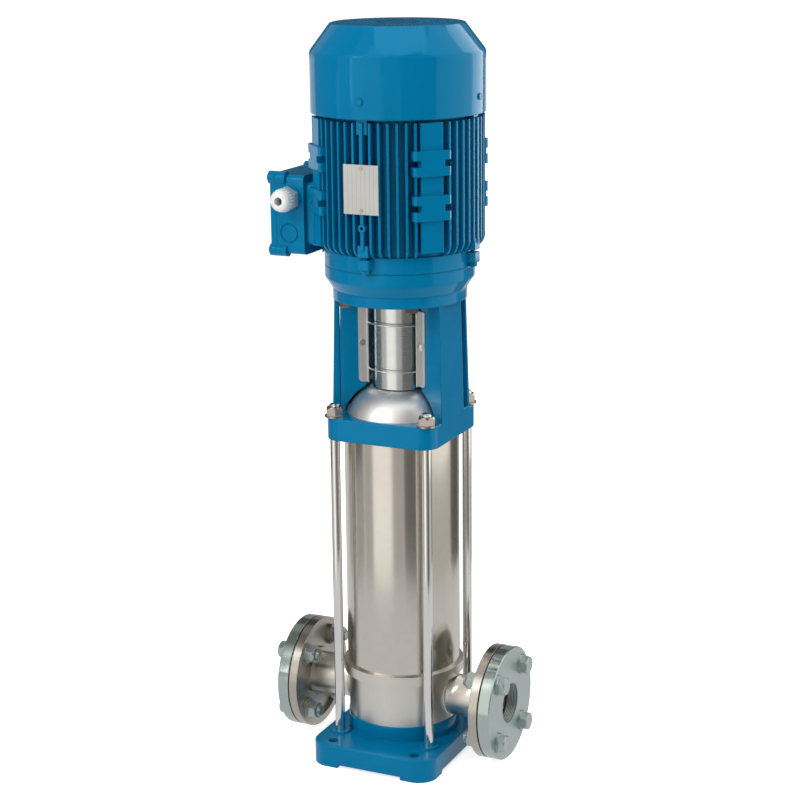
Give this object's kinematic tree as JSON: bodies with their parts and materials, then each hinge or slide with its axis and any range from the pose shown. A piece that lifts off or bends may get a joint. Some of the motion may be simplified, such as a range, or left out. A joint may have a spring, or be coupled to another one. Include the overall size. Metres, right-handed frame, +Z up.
{
  "type": "vertical multistage pump",
  "caption": "Vertical in-line multistage centrifugal pump with a flanged stainless pump end, a cast lantern and a finned electric motor on top.",
  "frame": {"origin": "centre of the foundation bolt pattern on the floor plane, on the shaft axis", "axes": "+Z up along the shaft axis, +X towards the delivery port, suction at -X, terminal box above suction"},
  "size_m": [0.364, 0.252, 1.0592],
  "materials": {
    "blue_paint": "gloss enamel",
    "stainless": "satin",
    "polished_steel": "polished",
    "zinc": "zinc plated",
    "gasket_rubber": "matte",
    "steel": "machined",
    "copper": "enamelled wire",
    "plastic_white": "matte",
    "plastic_black": "matte",
    "carbon": "lapped",
    "aluminium": "satin"
  },
  "bodies": {
    "frame": {"base_casting": "blue_paint", "lantern": "blue_paint", "drive_end_shield": "blue_paint", "motor_frame": "blue_paint", "fan_end_shield": "blue_paint", "fan_cover": "blue_paint", "fan_cover_screws": "blue_paint", "terminal_box": "blue_paint", "terminal_box_lid": "blue_paint", "lid_screws": "blue_paint", "shield_bolts": "blue_paint", "pump_casing": "stainless", "suction_chamber": "stainless", "suction_flange": "stainless", "delivery_flange": "stainless", "outer_sleeve": "stainless", "stage_casings": "stainless", "head_cover": "stainless", "coupling_guard_front": "stainless", "coupling_guard_rear": "stainless", "guard_screws": "stainless", "stage_support_ring": "stainless", "stage_clamp_ring": "stainless", "drain_plug": "stainless", "tie_rods": "polished_steel", "tie_rod_nuts": "polished_steel", "tie_rod_washers": "polished_steel", "suction_counterflange": "zinc", "delivery_counterflange": "zinc", "flange_bolts": "zinc", "flange_nuts": "zinc", "flange_washers": "zinc", "suction_gasket": "gasket_rubber", "delivery_gasket": "gasket_rubber", "sleeve_seals": "gasket_rubber", "motor_flange_bolts": "steel", "stator_core": "steel", "lower_bearing_outer_ring": "steel", "upper_bearing_outer_ring": "steel", "stator_winding": "copper", "gland_body": "plastic_white", "gland_nut": "plastic_white", "terminal_block": "plastic_black", "seal_seat": "carbon", "nameplate": "aluminium", "nameplate_rivets": "aluminium"},
    "rotor": {"motor_shaft": "steel", "rotor_core": "aluminium", "fan": "plastic_black", "pump_shaft": "stainless", "coupling_half_front": "polished_steel", "coupling_half_rear": "polished_steel", "coupling_screws": "steel", "impellers": "stainless", "shaft_nut": "stainless", "seal_rotor": "carbon", "lower_bearing_inner_ring": "steel", "upper_bearing_inner_ring": "steel"},
    "lower_ball_cage": {"lower_bearing_balls": "steel"},
    "upper_ball_cage": {"upper_bearing_balls": "steel"}
  },
  "joints": [
    {"name": "shaft_spin", "type": "hinge", "parent": "frame", "child": "rotor", "pos_m": [0, 0, 0.6], "axis": [0, 0, 1], "continuous": true},
    {"name": "lower_cage_spin", "type": "hinge", "parent": "frame", "child": "lower_ball_cage", "pos_m": [0, 0, 0.7205], "axis": [0, 0, 1], "continuous": true},
    {"name": "upper_cage_spin", "type": "hinge", "parent": "frame", "child": "upper_ball_cage", "pos_m": [0, 0, 0.9165], "axis": [0, 0, 1], "continuous": true}
  ],
  "couplings": [
    {"joint": "lower_cage_spin", "follows": "shaft_spin", "ratio": 0.3854},
    {"joint": "upper_cage_spin", "follows": "shaft_spin", "ratio": 0.3854}
  ]
}
